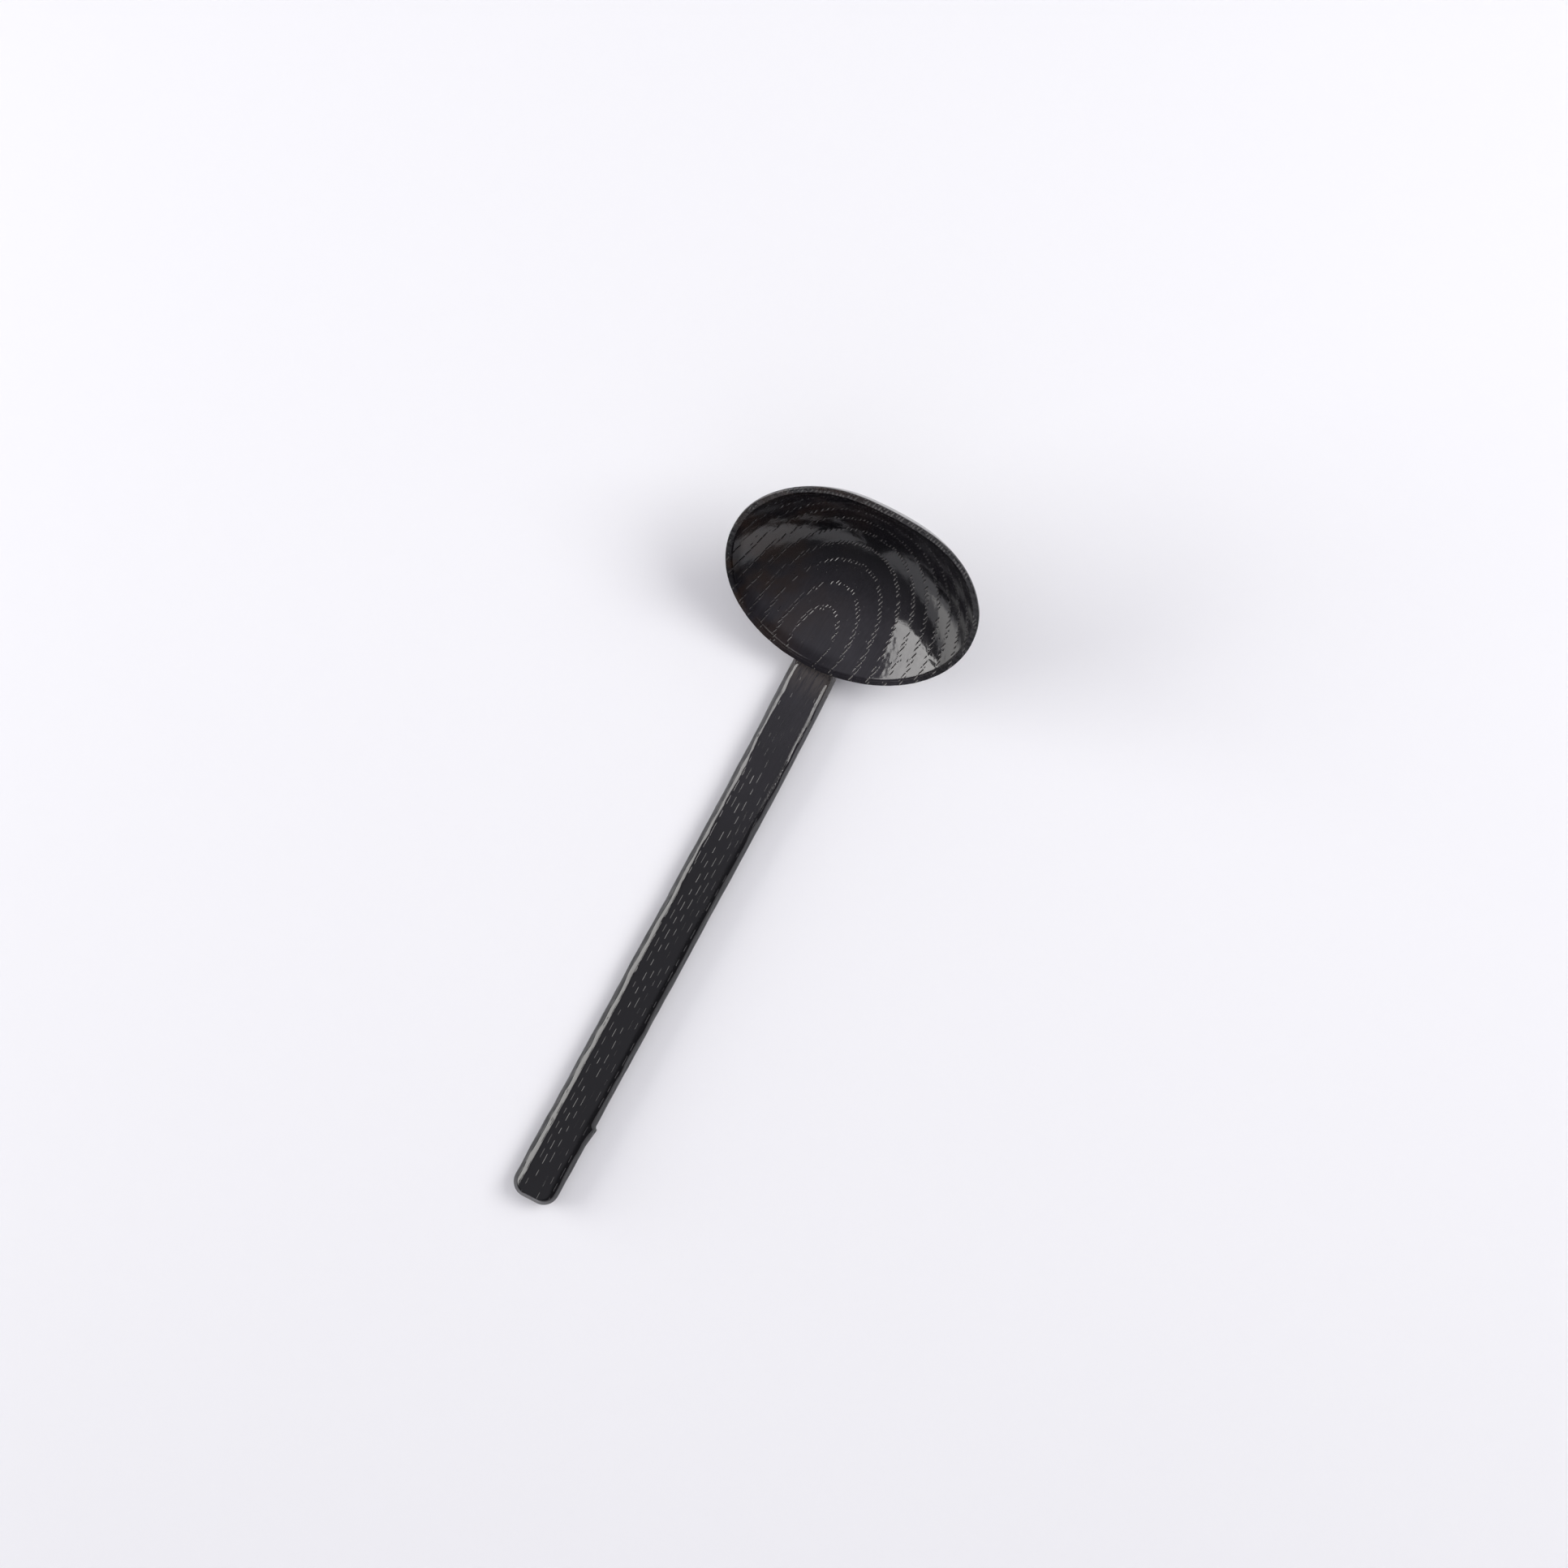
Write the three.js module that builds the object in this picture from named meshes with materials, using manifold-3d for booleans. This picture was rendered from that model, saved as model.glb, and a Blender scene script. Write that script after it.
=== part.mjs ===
// A lacquered wooden ladle, in millimetres, lying on a table as it is put down: +Z up, +Y towards the
// bowl, +X across. The origin is on the table, under the middle of the ladle.
//
// The wood is a bowl and a handle whose saddle carries the bowl's back. Black lacquer covers both: a
// lining inside the bowl, a coat on its back, a bead round the rim and a sleeve over the handle.
import * as THREE from "three";
import { mergeVertices } from "three/addons/utils/BufferGeometryUtils.js";
import Module from "manifold-3d";

const wasm = await Module();
wasm.setup();

// ---- Driving dimensions ----
const RIM_RADIUS = 41; // outside of the rim, where it is truly round
const RIM_FLAT = 4; // how far the hand-cut far edge falls short
const FLAT_AT = THREE.MathUtils.degToRad(85.5); // its middle, round from the right-hand side
const FLAT_SPREAD = THREE.MathUtils.degToRad(24);
const CUP_DEPTH = 18.6; // inside, square to the rim
const WALL_AT_RIM = 1.8;
const WALL_AT_BOTTOM = 2.4;
const RIM_TILT = THREE.MathUtils.degToRad(50); // rim's plane against the table
const BOWL_YAW = THREE.MathUtils.degToRad(4.2); // the hand-cut bowl points a little to the left

const HANDLE_LENGTH = 188; // end of the handle to the near edge of the rim
const HANDLE_WIDTH = 15.1;
const HANDLE_THICKNESS = 9.3;
const HANDLE_BOW = 0.9; // sideways bend of the handle, all in its last third
const BOW_FROM = 127;
const END_CORNER = 5; // corner radius of the handle's end, seen from above
const END_TOP = 1.6; // how far the top face stops short of the end
const NECK_STEP = 0.9; // height of the rim's near edge over the handle's top face
const NECK_FILLET = 2.2;

const HEEL_FROM = 178; // where the underside leaves the table, to sweep up the bowl's back
const HEEL_TO = 222; // where it runs out on the bowl's back
const HEEL_POWER = 2.5;
const HEEL_HALF_WIDTH = 4.5; // at its tip
const HEEL_LAP = 3; // how far the uncut handle reaches into the bowl

const COAT = 0.3; // ground and lacquer together
const GAP = 0.15; // between wood and lacquer
const JOINT_GAP = 0.2; // between the handle's pieces and the bowl's
const RIM_BAND = 2.4; // depth of the rim's bead, inside and outside
const CORE = COAT + GAP; // how far the wood lies under the lacquer's surface

// Fineness of the faceted surfaces
const TURN_STEPS = 48;
const ARC_STEPS = 10;
const END_SECTIONS = 5;

// ---- Where the bowl is ----
// The two faces of the cup are caps of spheres, each through its edge at the rim and its lowest point.
function cap(edgeRadius, depth) {
  const radius = (edgeRadius ** 2 + depth ** 2) / (2 * depth);
  return { radius, centre: radius - depth };
}
const back = cap(RIM_RADIUS, CUP_DEPTH + WALL_AT_BOTTOM);
const lining = cap(RIM_RADIUS - WALL_AT_RIM, CUP_DEPTH);

const neck = new THREE.Vector3(-HANDLE_BOW, HANDLE_LENGTH, HANDLE_THICKNESS + NECK_STEP);
const upRim = new THREE.Vector3(0, Math.cos(RIM_TILT), Math.sin(RIM_TILT));
upRim.applyAxisAngle(new THREE.Vector3(0, 0, 1), BOWL_YAW);
const rimCentre = neck.clone().addScaledVector(upRim, RIM_RADIUS);
const opening = new THREE.Vector3(0, -Math.sin(RIM_TILT), Math.cos(RIM_TILT));
opening.applyAxisAngle(new THREE.Vector3(0, 0, 1), BOWL_YAW);
const backCentre = rimCentre.clone().addScaledVector(opening, back.centre);

// ---- Solids ----
function solid(geometry) {
  const bare = geometry.clone();
  bare.deleteAttribute("normal");
  bare.deleteAttribute("uv");
  const merged = mergeVertices(bare, 1e-4);
  const mesh = new wasm.Mesh({
    numProp: 3,
    vertProperties: merged.attributes.position.array,
    triVerts: new Uint32Array(merged.index.array),
  });
  return new wasm.Manifold(mesh);
}

function geometryOf(manifold) {
  const mesh = manifold.getMesh();
  const geometry = new THREE.BufferGeometry();
  geometry.setAttribute("position", new THREE.BufferAttribute(mesh.vertProperties, 3));
  geometry.setIndex(new THREE.BufferAttribute(mesh.triVerts, 1));
  geometry.computeVertexNormals();
  return geometry;
}

// Moves a turned shape's points in or out to the rim's hand-cut outline.
function outline(geometry) {
  const position = geometry.attributes.position;
  for (let i = 0; i < position.count; i++) {
    const x = position.getX(i);
    const up = -position.getZ(i);
    const around = Math.atan2(up, x);
    let fromFlat = around - FLAT_AT;
    if (fromFlat < -Math.PI) fromFlat += 2 * Math.PI;
    const fall = RIM_FLAT * Math.exp(-0.5 * (fromFlat / FLAT_SPREAD) ** 2);
    const grow = 1 - fall / RIM_RADIUS;
    position.setXYZ(i, x * grow, position.getY(i), -up * grow);
  }
  return geometry;
}

function turned(profile) {
  return outline(new THREE.LatheGeometry(profile, TURN_STEPS));
}

// ---- The bowl's profiles: x is the distance from the axis, y the height over the rim's plane ----
function arc(sphere, offset, depthFrom, steps = ARC_STEPS) {
  const radius = sphere.radius + offset;
  const last = Math.acos((sphere.centre + depthFrom) / radius);
  const points = [];
  for (let i = 0; i <= steps; i++) {
    const angle = (last * i) / steps;
    const x = i === 0 ? 0 : radius * Math.sin(angle);
    points.push(new THREE.Vector2(x, sphere.centre - radius * Math.cos(angle)));
  }
  return points;
}

// The part of an arc between two depths, without its way to the axis.
function band(sphere, offset, depthFrom, depthTo, steps) {
  const radius = sphere.radius + offset;
  const first = Math.acos((sphere.centre + depthTo) / radius);
  const last = Math.acos((sphere.centre + depthFrom) / radius);
  const points = [];
  for (let i = 0; i <= steps; i++) {
    const angle = first + ((last - first) * i) / steps;
    points.push(new THREE.Vector2(radius * Math.sin(angle), sphere.centre - radius * Math.cos(angle)));
  }
  return points;
}

// A shell of revolution: out along the back, over the edge and home along the lining.
function shell(outer, inner, edge = []) {
  return turned([...outer, ...edge, ...inner.slice().reverse()]);
}

// Half-round over the rim, on a wall that starts at the given depth.
function lip(inset, steps = 4) {
  const depth = WALL_AT_RIM / 2;
  const outer = Math.sqrt((back.radius - inset) ** 2 - (back.centre + depth) ** 2);
  const inner = Math.sqrt((lining.radius + inset) ** 2 - (lining.centre + depth) ** 2);
  const middle = (outer + inner) / 2;
  const half = (outer - inner) / 2;
  const points = [];
  for (let i = 1; i < steps; i++) {
    const angle = (Math.PI * i) / steps;
    const height = (depth - inset) * Math.sin(angle) - depth;
    points.push(new THREE.Vector2(middle + half * Math.cos(angle), height));
  }
  return points;
}

const LIP_DEPTH = WALL_AT_RIM / 2; // where the half-round starts

function bowlWood() {
  return shell(arc(back, -CORE, LIP_DEPTH), arc(lining, CORE, LIP_DEPTH), lip(CORE));
}

function innerLacquer() {
  return shell(arc(lining, COAT, RIM_BAND + GAP), arc(lining, 0, RIM_BAND + GAP));
}

// Up the back, over the edge and down the lining, as far as the rim's bead reaches.
function bead(inset) {
  const up = band(back, -inset, LIP_DEPTH, RIM_BAND, 2);
  const down = band(lining, inset, LIP_DEPTH, RIM_BAND, 2).reverse();
  return [...up, ...lip(inset), ...down];
}

function rimLacquer() {
  const profile = [...bead(0), ...bead(COAT).reverse()];
  return turned([...profile, profile[0].clone()]);
}

// All that the back's surface encloses, down to the rim's plane, larger by the margin.
function bowlEnvelope(margin) {
  const outer = arc(back, margin, -margin);
  return turned([...outer, new THREE.Vector2(0, margin)]);
}

// The same for the rim's bead alone.
function rimEnvelope(margin) {
  const outer = band(back, margin, -margin, RIM_BAND + margin, 3);
  const bottom = new THREE.Vector2(0, -RIM_BAND - margin);
  return turned([bottom, ...outer, new THREE.Vector2(0, margin)]);
}

// ---- The handle: sections along Y, each a flat top, two bevels, an upright side and a flat foot ----
const TOP_FLAT = 4.4; // half of the top face's width
const BEVEL_RUN = 1.95;
const BEVEL_SLOPE = THREE.MathUtils.degToRad(30);
const SIDE_RUN = 1.2; // the steep bevel between the first one and the side
const SIDE_SLOPE = THREE.MathUtils.degToRad(62);
const FOOT_ROUND = 3;

// Right half of the section, from the middle of the foot up to the middle of the top. Each point also has
// how far it stops short of the handle's end.
function halfSection() {
  const half = HANDLE_WIDTH / 2;
  const points = [{ x: 0, z: 0, short: FOOT_ROUND }];
  for (let i = 0; i <= 3; i++) {
    const angle = (Math.PI / 2) * (i / 3);
    const short = FOOT_ROUND * (1 - Math.sin(angle));
    points.push({ x: half - short, z: FOOT_ROUND * (1 - Math.cos(angle)), short });
  }
  const upper = HANDLE_THICKNESS - BEVEL_RUN * Math.tan(BEVEL_SLOPE);
  points.push({ x: half, z: upper - SIDE_RUN * Math.tan(SIDE_SLOPE), short: 0 });
  points.push({ x: TOP_FLAT + BEVEL_RUN, z: upper, short: SIDE_RUN });
  points.push({ x: TOP_FLAT, z: HANDLE_THICKNESS, short: END_TOP });
  points.push({ x: 0, z: HANDLE_THICKNESS, short: END_TOP });
  return points;
}

// Lowest line of the bowl's back, over the handle's middle.
function backHeight(y) {
  const run = y - backCentre.y;
  return backCentre.z - Math.sqrt(back.radius ** 2 - run ** 2);
}

function topHeight(y) {
  const start = HANDLE_LENGTH - NECK_FILLET;
  if (y <= start) return HANDLE_THICKNESS;
  if (y <= HANDLE_LENGTH) {
    const t = (y - start) / NECK_FILLET;
    return HANDLE_THICKNESS + (NECK_STEP - 0.2) * (1 - Math.sqrt(1 - t ** 2) * (1 - t) - t * (1 - t));
  }
  return Math.min(backHeight(y) + HEEL_LAP, neck.z + 0.8 * (y - HANDLE_LENGTH) - 0.2);
}

function footHeight(y) {
  if (y <= HEEL_FROM) return 0;
  return backHeight(HEEL_TO) * ((y - HEEL_FROM) / (HEEL_TO - HEEL_FROM)) ** HEEL_POWER;
}

function halfWidth(y) {
  const half = HANDLE_WIDTH / 2;
  if (y <= HEEL_FROM) return half;
  const t = (y - HEEL_FROM) / (HEEL_TO - HEEL_FROM);
  return half - (half - HEEL_HALF_WIDTH) * Math.min(t, 1) ** 2;
}

function middleX(y) {
  if (y <= BOW_FROM) return 0;
  return -HANDLE_BOW * ((y - BOW_FROM) / (HANDLE_LENGTH - BOW_FROM)) ** 2;
}

// Where the sections stand, past the rounded end.
function stations() {
  const list = [65, BOW_FROM, 143, 159, 170];
  for (let y = HEEL_FROM; y < HANDLE_LENGTH - NECK_FILLET; y += 4) list.push(y);
  for (let i = 0; i <= 4; i++) list.push(HANDLE_LENGTH - NECK_FILLET * (1 - i / 4));
  for (let y = HANDLE_LENGTH + 3; y <= HEEL_TO + 7; y += 4) list.push(y);
  return list;
}

// The handle before the bowl is cut from it, every face moved in by inset.
function handleLoft(inset) {
  const half = halfSection();
  const mirrored = half.slice(1, -1).reverse();
  const ring = [...half, ...mirrored.map((p) => ({ ...p, x: -p.x }))];
  const positions = [];
  const add = (p, y, tuck) => {
    const wide = (halfWidth(y) - inset) / (HANDLE_WIDTH / 2);
    const low = footHeight(y) + inset;
    const high = topHeight(y) - inset;
    const x = middleX(y) + (p.x - Math.sign(p.x) * tuck) * wide;
    positions.push(x, y, low + (p.z / HANDLE_THICKNESS) * (high - low));
  };
  for (let i = 0; i <= END_SECTIONS; i++) {
    const angle = (Math.PI / 2) * (i / END_SECTIONS);
    for (const p of ring) {
      const corner = END_CORNER - p.short;
      const y = inset + p.short + corner * (1 - Math.cos(angle));
      add(p, y, corner * (1 - Math.sin(angle)));
    }
  }
  for (const y of stations()) for (const p of ring) add(p, y, 0);

  const count = ring.length;
  const rows = positions.length / 3 / count;
  const index = [];
  for (let row = 0; row + 1 < rows; row++)
    for (let i = 0; i < count; i++) {
      const a = row * count + i;
      const b = row * count + ((i + 1) % count);
      index.push(a, a + count, b, b, a + count, b + count);
    }
  // The two ends are closed straight across, from each point to the one opposite.
  const last = (rows - 1) * count;
  for (let i = 0; i + 1 < half.length; i++) {
    const quad = [i, i + 1, count - i - 1, (count - i) % count];
    for (const [a, b, c] of [
      [quad[0], quad[1], quad[2]],
      [quad[0], quad[2], quad[3]],
    ]) {
      if (a === b || b === c || c === a) continue;
      index.push(a, b, c);
      index.push(last + a, last + c, last + b);
    }
  }
  const geometry = new THREE.BufferGeometry();
  geometry.setAttribute("position", new THREE.BufferAttribute(new Float32Array(positions), 3));
  geometry.setIndex(index);
  return geometry;
}

// ---- Materials ----
const lacquerBlack = { color: 0x17151a, roughness: 0.16, metalness: 0 };
const materials = {
  wood: new THREE.MeshStandardMaterial({ color: 0x8a5a34, roughness: 0.7, metalness: 0 }),
  lacquer: new THREE.MeshStandardMaterial(lacquerBlack),
  rim: new THREE.MeshStandardMaterial({ ...lacquerBlack, color: 0x242226, roughness: 0.25 }),
};

function piece(name, geometry, material) {
  const mesh = new THREE.Mesh(geometry, material);
  mesh.name = name;
  return mesh;
}

// ---- Assembly ----
const ladle = new THREE.Group();

const bowl = new THREE.Group();
bowl.position.copy(rimCentre);
bowl.rotation.set(Math.PI / 2 + RIM_TILT, 0, BOWL_YAW, "ZXY");
bowl.updateMatrix();
ladle.add(bowl);

const inBowlFrame = (geometry) => geometry.clone().applyMatrix4(bowl.matrix.clone().invert());
const inLadleFrame = (geometry) => geometry.clone().applyMatrix4(bowl.matrix);

const backShell = shell(arc(back, 0, RIM_BAND + GAP), arc(back, -COAT, RIM_BAND + GAP));
const saddleWindow = solid(inBowlFrame(handleLoft(-JOINT_GAP)));
const outerLacquer = geometryOf(solid(backShell).subtract(saddleWindow));

bowl.add(
  piece("bowl_wood", bowlWood(), materials.wood),
  piece("bowl_inner_lacquer", innerLacquer(), materials.lacquer),
  piece("bowl_outer_lacquer", outerLacquer, materials.lacquer),
  piece("rim_lacquer", rimLacquer(), materials.rim),
);

const beadSaddle = solid(inLadleFrame(rimEnvelope(JOINT_GAP)));
const woodSaddle = solid(inLadleFrame(bowlEnvelope(JOINT_GAP - CORE))).add(beadSaddle);
const lacquerSaddle = solid(inLadleFrame(bowlEnvelope(JOINT_GAP)));
const handleWood = solid(handleLoft(CORE)).subtract(woodSaddle);
const handleSleeve = solid(handleLoft(0)).subtract(solid(handleLoft(COAT))).subtract(lacquerSaddle);

ladle.add(
  piece("handle_wood", geometryOf(handleWood), materials.wood),
  piece("handle_lacquer", geometryOf(handleSleeve), materials.lacquer),
);

// The origin goes on the table under the middle of the ladle.
ladle.updateMatrixWorld(true);
const box = new THREE.Box3().setFromObject(ladle, true);
const middle = box.getCenter(new THREE.Vector3());
const parts = [...ladle.children];
for (const part of parts) part.position.sub(new THREE.Vector3(middle.x, middle.y, box.min.z));

export default ladle;
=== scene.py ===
"""A black lacquered wooden ladle on a pale studio floor.

The wood is the CAD's own. Over it lie two finely meshed coats of lacquer, one on the bowl and one on
the handle, cut a little by hand, with the open grain of the wood sunk into them.
"""

import math

import bmesh
import bpy
import numpy as np
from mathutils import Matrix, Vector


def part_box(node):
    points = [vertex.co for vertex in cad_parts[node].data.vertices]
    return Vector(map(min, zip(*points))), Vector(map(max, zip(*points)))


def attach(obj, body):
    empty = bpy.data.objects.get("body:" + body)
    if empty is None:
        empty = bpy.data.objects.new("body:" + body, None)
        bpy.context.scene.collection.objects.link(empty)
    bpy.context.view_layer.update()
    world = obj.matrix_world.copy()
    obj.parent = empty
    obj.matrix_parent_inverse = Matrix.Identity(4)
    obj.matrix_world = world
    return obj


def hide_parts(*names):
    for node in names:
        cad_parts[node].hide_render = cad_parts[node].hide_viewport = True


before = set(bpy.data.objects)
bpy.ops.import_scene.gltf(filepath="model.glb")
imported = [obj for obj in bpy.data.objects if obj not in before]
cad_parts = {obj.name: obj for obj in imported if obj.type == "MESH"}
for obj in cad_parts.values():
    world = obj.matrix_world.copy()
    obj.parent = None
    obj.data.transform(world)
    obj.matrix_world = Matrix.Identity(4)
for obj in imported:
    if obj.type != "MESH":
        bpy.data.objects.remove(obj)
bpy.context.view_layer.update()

MM = 0.001

# ---- The ladle's dimensions, in millimetres, as in the CAD ----
RIM_RADIUS = 41.0
RIM_FLAT = 4.0
FLAT_AT = math.radians(85.5)
FLAT_SPREAD = math.radians(24)
CUP_DEPTH = 18.6
WALL_AT_RIM = 1.8
WALL_AT_BOTTOM = 2.4
RIM_TILT = math.radians(50)
BOWL_YAW = math.radians(4.2)
HANDLE_LENGTH = 188.0
HANDLE_WIDTH = 15.1
HANDLE_THICKNESS = 9.3
HANDLE_BOW = 0.9
BOW_FROM = 127
END_CORNER = 5.0
END_TOP = 1.6
NECK_STEP = 0.9
HEEL_FROM = 178
HEEL_TO = 222
HEEL_POWER = 2.5
HEEL_HALF_WIDTH = 4.5
TOP_FLAT = 4.4
SIDE_RUN = 1.2
SIDE_SLOPE = math.radians(62)
FOOT_ROUND = 3.0

sleeve_low, sleeve_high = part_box("handle_lacquer")
HANDLE_X = sleeve_high.x / MM - HANDLE_WIDTH / 2
END_Y = sleeve_low.y / MM

# ---- The grain: year rings are cylinders round a pith that rises slowly under the ladle ----
GRAIN_TURN = math.radians(-4.2)
GRAIN_RISE = math.radians(6.3)
ACROSS = np.array([math.cos(GRAIN_TURN), math.sin(GRAIN_TURN), 0.0])
FIBRE = np.array(
    [
        -math.sin(GRAIN_TURN) * math.cos(GRAIN_RISE),
        math.cos(GRAIN_TURN) * math.cos(GRAIN_RISE),
        math.sin(GRAIN_RISE),
    ]
)
OUTWARD = np.cross(ACROSS, FIBRE)
PITH = np.array([-3.9, 96.0, -2.1])
RING_PITCH = 4.76
PORE_ROW = 1.76  # where in each ring the large pores are
TIGHT_RING = 19.3  # inside this radius the rings close up
TIGHTENING = 1.8
WAY_ROUND = 34.0  # millimetres to a radian, about right in the middle of the rings
STROKE_TURN = math.radians(-17)  # the large pores in the bowl lean away from the fibres
STROKE_ALONG = np.array([-math.sin(STROKE_TURN), math.cos(STROKE_TURN), 0.1])
STROKE_ACROSS = np.array([math.cos(STROKE_TURN), math.sin(STROKE_TURN), 0.0])
STROKE_SPACING = 1.0
STROKE_LENGTH = 2.6
STROKE_HALF_WIDTH = 0.22
TURNS_AWAY = 7.0  # how many cells the start of each column of marks may be shifted by
KEEP_POSITIVE = 100.0  # keeps the cells' numbers above zero

# ---- The handle's bevels and the studio ----
BEVEL_STEPS = 9
TOP_STEPS = 14
FOOT_STEPS = 8
FLOOR_HALF = 0.5  # metres: the part of the floor that the lacquer reflects
SHADE_PANEL_LEVEL = 8.4  # millimetres: just below the handle's top, where the black panels of painted shade lie
SHEET_GAP = 0.002  # metres between the sweep's edge and the floor


# ---- Smooth, repeatable unevenness ----
def uneven(points, size, seed, waves=9):
    """About -1 to 1, changing over the given size in millimetres."""
    rng = np.random.RandomState(seed)
    total = np.zeros(len(points))
    for _ in range(waves):
        direction = rng.normal(size=3)
        direction /= np.linalg.norm(direction)
        pitch = size * rng.uniform(0.7, 1.6)
        phase = rng.uniform(0, 2 * math.pi)
        total += np.sin(points @ direction * (2 * math.pi / pitch) + phase)
    return total / math.sqrt(waves * 2)


def smoothstep(x, low, high):
    t = np.clip((x - low) / (high - low), 0, 1)
    return t * t * (3 - 2 * t)


def ring_furrow(points):
    """1 in the middle of a row of pores, 0 between rows."""
    from_pith = points - PITH
    radius = np.hypot(from_pith @ ACROSS, from_pith @ OUTWARD)
    radius -= TIGHTENING * (1 - smoothstep(radius, TIGHT_RING - 1.5, TIGHT_RING + 1.5))
    place = radius - np.floor(radius / RING_PITCH) * RING_PITCH
    return np.exp(-0.5 * ((place - PORE_ROW) / 0.45) ** 2)


# ---- The bowl ----
def cap(edge_radius, depth):
    """The radius of a sphere that is cut to this edge and depth, and its centre's height over the edge."""
    radius = (edge_radius**2 + depth**2) / (2 * depth)
    return radius, radius - depth


BACK_RADIUS, BACK_CENTRE = cap(RIM_RADIUS, CUP_DEPTH + WALL_AT_BOTTOM)
LINING_RADIUS, LINING_CENTRE = cap(RIM_RADIUS - WALL_AT_RIM, CUP_DEPTH)

side = np.array([math.cos(BOWL_YAW), math.sin(BOWL_YAW), 0.0])
up_rim = np.array(
    [
        -math.sin(BOWL_YAW) * math.cos(RIM_TILT),
        math.cos(BOWL_YAW) * math.cos(RIM_TILT),
        math.sin(RIM_TILT),
    ]
)
opening = np.cross(side, up_rim)
neck = np.array([HANDLE_X - HANDLE_BOW, END_Y + HANDLE_LENGTH, HANDLE_THICKNESS + NECK_STEP])
rim_centre = neck + up_rim * RIM_RADIUS
back_centre = rim_centre + opening * BACK_CENTRE
lining_centre = rim_centre + opening * LINING_CENTRE


def outline(around):
    """How far the hand-cut rim reaches in each direction, as a share of the turned one."""
    from_flat = around - FLAT_AT
    from_flat = np.where(from_flat < -math.pi, from_flat + 2 * math.pi, from_flat)
    fall = RIM_FLAT * np.exp(-0.5 * (from_flat / FLAT_SPREAD) ** 2)
    return 1 - fall / RIM_RADIUS


def place_on_bowl(around, reach, height):
    """Points from the angle round the bowl, the distance from its axis and the height over the rim."""
    reach = reach * outline(around)
    return (
        rim_centre
        + np.outer(reach * np.cos(around), side)
        + np.outer(reach * np.sin(around), up_rim)
        + np.outer(height, opening)
    )


def disc_grid(count):
    """A square grid drawn into a disc: share of the radius and angle of each point."""
    line = np.linspace(-1, 1, count)
    u, v = np.meshgrid(line, line, indexing="ij")
    u, v = u.ravel(), v.ravel()
    wide = np.abs(u) >= np.abs(v)
    share = np.where(wide, np.abs(u), np.abs(v))
    safe_u = np.where(u == 0, 1, u)
    safe_v = np.where(v == 0, 1, v)
    angle = np.where(
        wide,
        np.where(u >= 0, 0, math.pi) + (math.pi / 4) * v / safe_u,
        np.where(v >= 0, math.pi / 2, -math.pi / 2) - (math.pi / 4) * u / safe_v,
    )
    return share, (angle + math.pi) % (2 * math.pi) - math.pi


def edge_loop(count):
    """Indices of the grid's outermost points, in order round it."""
    last = count - 1
    grid = np.arange(count * count).reshape(count, count)
    return np.concatenate([grid[last, :-1], grid[last:0:-1, last], grid[0, last:0:-1], grid[:-1, 0]])


def grid_faces(count, flip):
    grid = np.arange(count * count).reshape(count, count)
    quads = np.stack([grid[:-1, :-1], grid[1:, :-1], grid[1:, 1:], grid[:-1, 1:]], -1).reshape(-1, 4)
    return quads[:, ::-1] if flip else quads


LIP_SQUARENESS = 0.2  # 1 is a half-round edge, 0 a square one


def bowl_coat(count=196, lip_rows=13):
    """One closed skin: the lining, the rim and the back."""
    share, around = disc_grid(count)
    lip_depth = WALL_AT_RIM / 2

    last = math.acos((LINING_CENTRE + lip_depth) / LINING_RADIUS)
    angle = share * last
    lining = place_on_bowl(
        around, LINING_RADIUS * np.sin(angle), LINING_CENTRE - LINING_RADIUS * np.cos(angle)
    )
    inward = lining_centre - lining
    inward /= np.linalg.norm(inward, axis=1)[:, None]
    near_rim = smoothstep(share, 0.93, 1.0)
    dent = -0.028 * ring_furrow(lining) * (1 - near_rim)
    dent += 0.07 * uneven(lining, 26, 11) + 0.01 * uneven(lining, 9, 12)
    lining = lining + inward * dent[:, None]

    last = math.acos((BACK_CENTRE + lip_depth) / BACK_RADIUS)
    angle = share * last
    back = place_on_bowl(around, BACK_RADIUS * np.sin(angle), BACK_CENTRE - BACK_RADIUS * np.cos(angle))
    outward = back - back_centre
    outward /= np.linalg.norm(outward, axis=1)[:, None]
    dent = -0.04 * ring_furrow(back) * (1 - near_rim)
    dent += 0.12 * uneven(back, 22, 21) + 0.03 * uneven(back, 8, 22) - 0.1
    back = back + outward * dent[:, None]

    loop = edge_loop(count)
    inner_edge, outer_edge = lining[loop], back[loop]
    middle = (inner_edge + outer_edge) / 2
    half = (outer_edge - inner_edge) / 2
    rows = []
    for row in range(1, lip_rows):
        turn = math.pi * row / lip_rows
        flat = np.sign(math.cos(turn)) * abs(math.cos(turn)) ** LIP_SQUARENESS
        rise = math.sin(turn) ** LIP_SQUARENESS
        points = middle - half * flat + opening * (lip_depth * rise)
        chip = 0.05 * uneven(points, 7, 31) + 0.03 * uneven(points, 2.6, 32)
        rows.append(points + opening * (chip * rise)[:, None])

    points = np.concatenate([lining, *rows, back])
    size, ring = count * count, len(loop)
    faces = [grid_faces(count, False), grid_faces(count, True) + size + ring * (lip_rows - 1)]
    chain = [loop]
    chain += [np.arange(ring) + size + ring * row for row in range(lip_rows - 1)]
    chain.append(loop + size + ring * (lip_rows - 1))
    for a, b in zip(chain, chain[1:]):
        faces.append(np.stack([a, b, np.roll(b, -1), np.roll(a, -1)], -1))
    return points, np.concatenate(faces)


# ---- The handle ----
def run(start, end, steps):
    """Evenly spaced points from the start to just before the end."""
    share = np.linspace(0, 1, steps, endpoint=False)[:, None]
    return np.array(start) * (1 - share) + np.array(end) * share


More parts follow.
